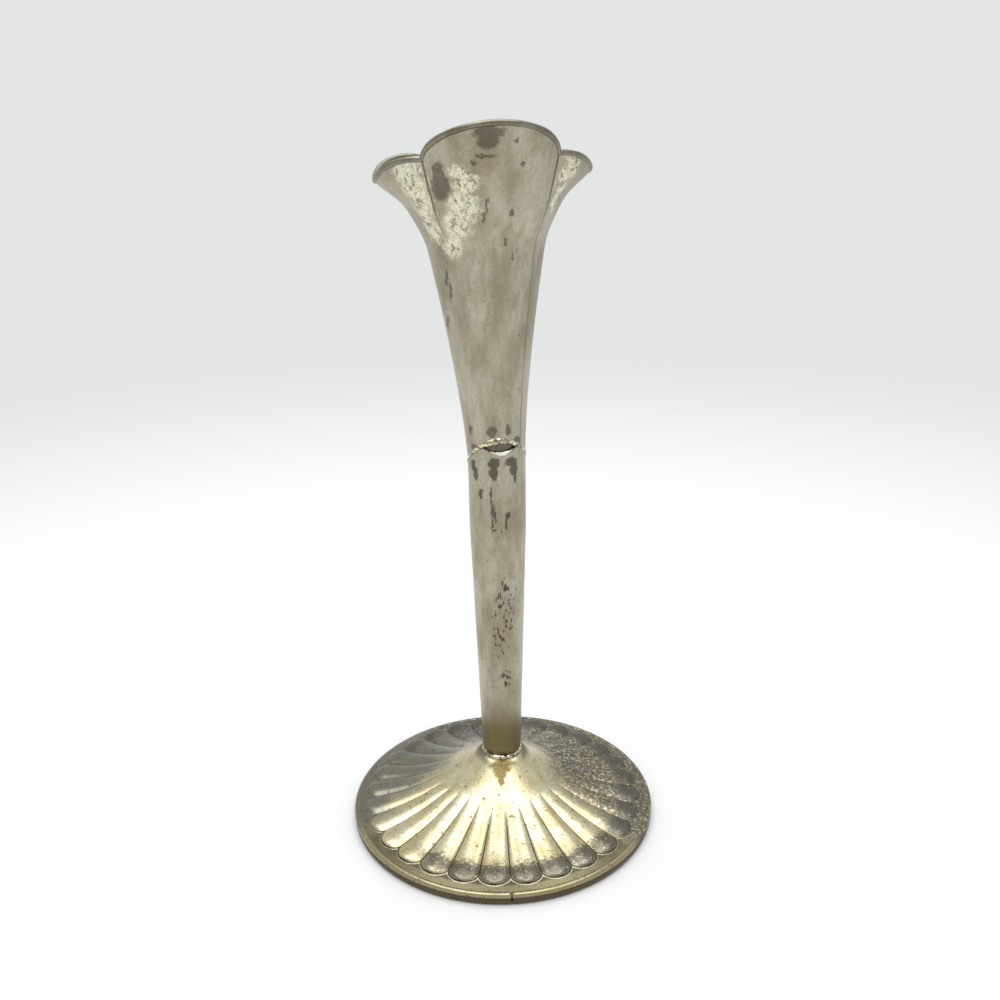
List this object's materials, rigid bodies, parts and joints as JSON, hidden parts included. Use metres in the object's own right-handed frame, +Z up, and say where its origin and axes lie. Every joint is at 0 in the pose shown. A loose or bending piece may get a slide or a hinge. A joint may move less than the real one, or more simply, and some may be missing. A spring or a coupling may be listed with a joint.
{
  "type": "trumpet vase",
  "caption": "Slender silver-plated bud vase: trumpet with a petalled, wire-edged mouth, soldered on a slanted joint to a tapered stem and a fluted round foot; it holds one or a few cut stems",
  "frame": {"origin": "centre of the foot, on the table", "axes": "+Z up the stem, -Y toward the front petal, +X to the right of it"},
  "size_m": [0.08, 0.08, 0.1762],
  "materials": {
    "silver_plate": "worn, tarnished silver plate on sheet brass",
    "worn_brass": "silver plate worn through to a pale gold tone, stained in the grooves",
    "solder": "lumpy soft solder"
  },
  "bodies": {
    "root": {"trumpet": "silver_plate", "mouth_wire": "silver_plate", "joint_sleeve": "worn_brass", "joint_solder": "solder", "stem_tube": "silver_plate", "stem_cup": "silver_plate", "foot_solder": "solder", "foot_dome": "worn_brass", "foot_border": "worn_brass"}
  },
  "joints": []
}
